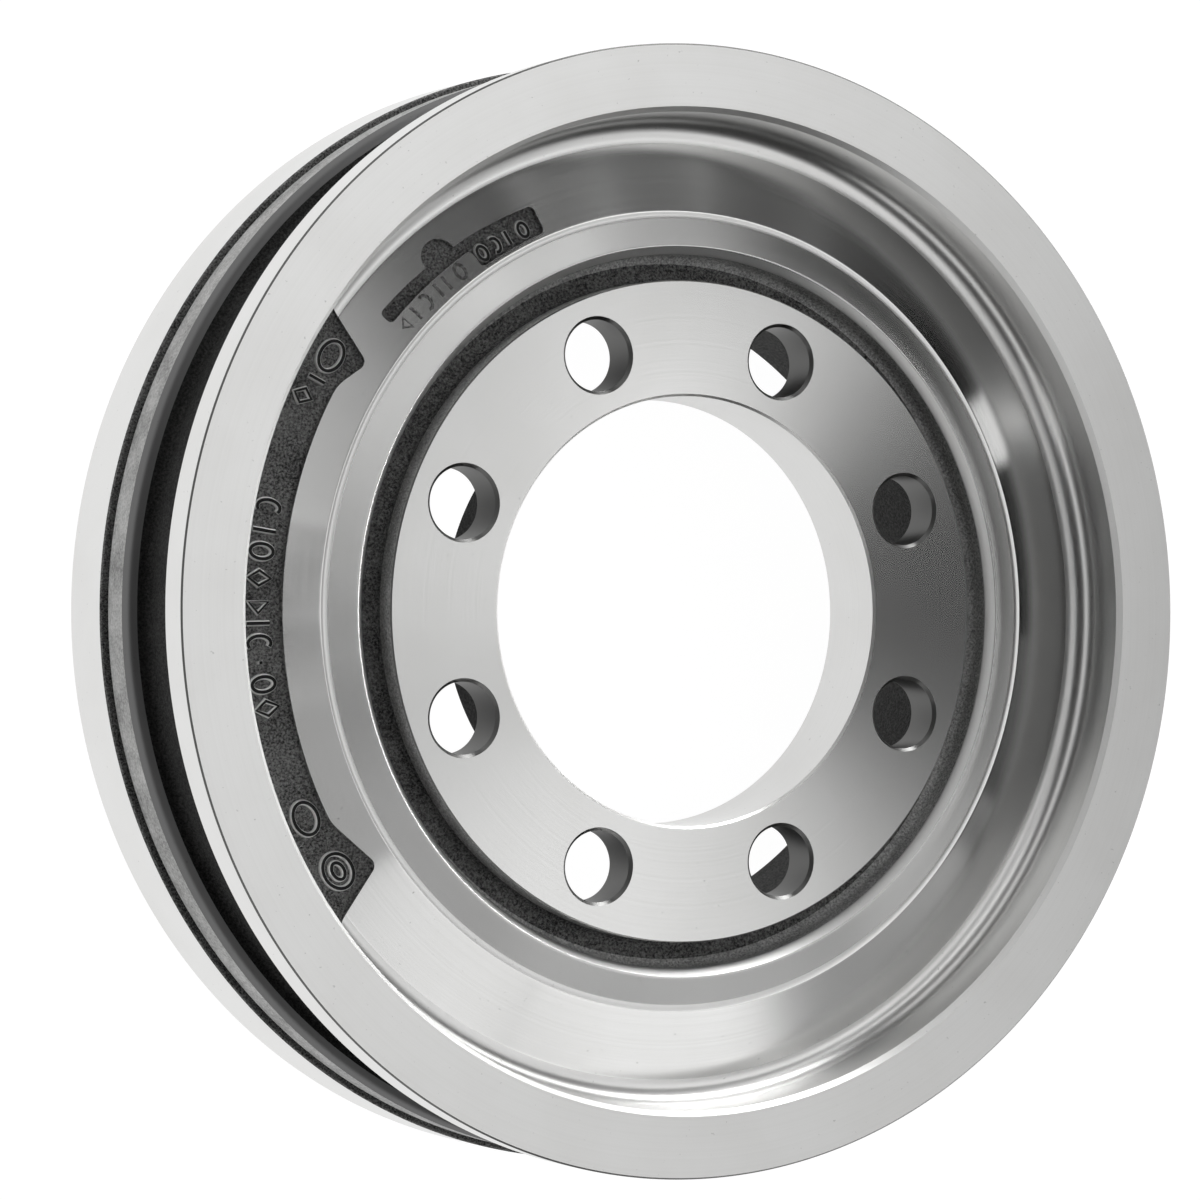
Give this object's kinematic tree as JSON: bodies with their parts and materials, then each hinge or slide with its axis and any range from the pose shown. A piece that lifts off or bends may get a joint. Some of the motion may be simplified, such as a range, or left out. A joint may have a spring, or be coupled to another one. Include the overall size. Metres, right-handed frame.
{
  "type": "brake drum",
  "caption": "One-piece cast brake drum with a turned front ring, a shallow dish, a flanged hub with stud holes and a centring bore, open at the rear.",
  "frame": {"origin": "on the axis of rotation, in the plane of the open rear end that the drum stands on", "axes": "+Z along the axis of rotation towards the front face and the hub flange; the first stud hole lies 22.5 degrees from +X, and the long cast patch lies on the -X side"},
  "size_m": [0.34, 0.34, 0.085],
  "materials": {
    "cast_iron": "turned on the working faces, as cast in the grooves, the patches and behind the hub"
  },
  "bodies": {
    "root": {"brake_drum": "cast_iron"}
  },
  "joints": []
}
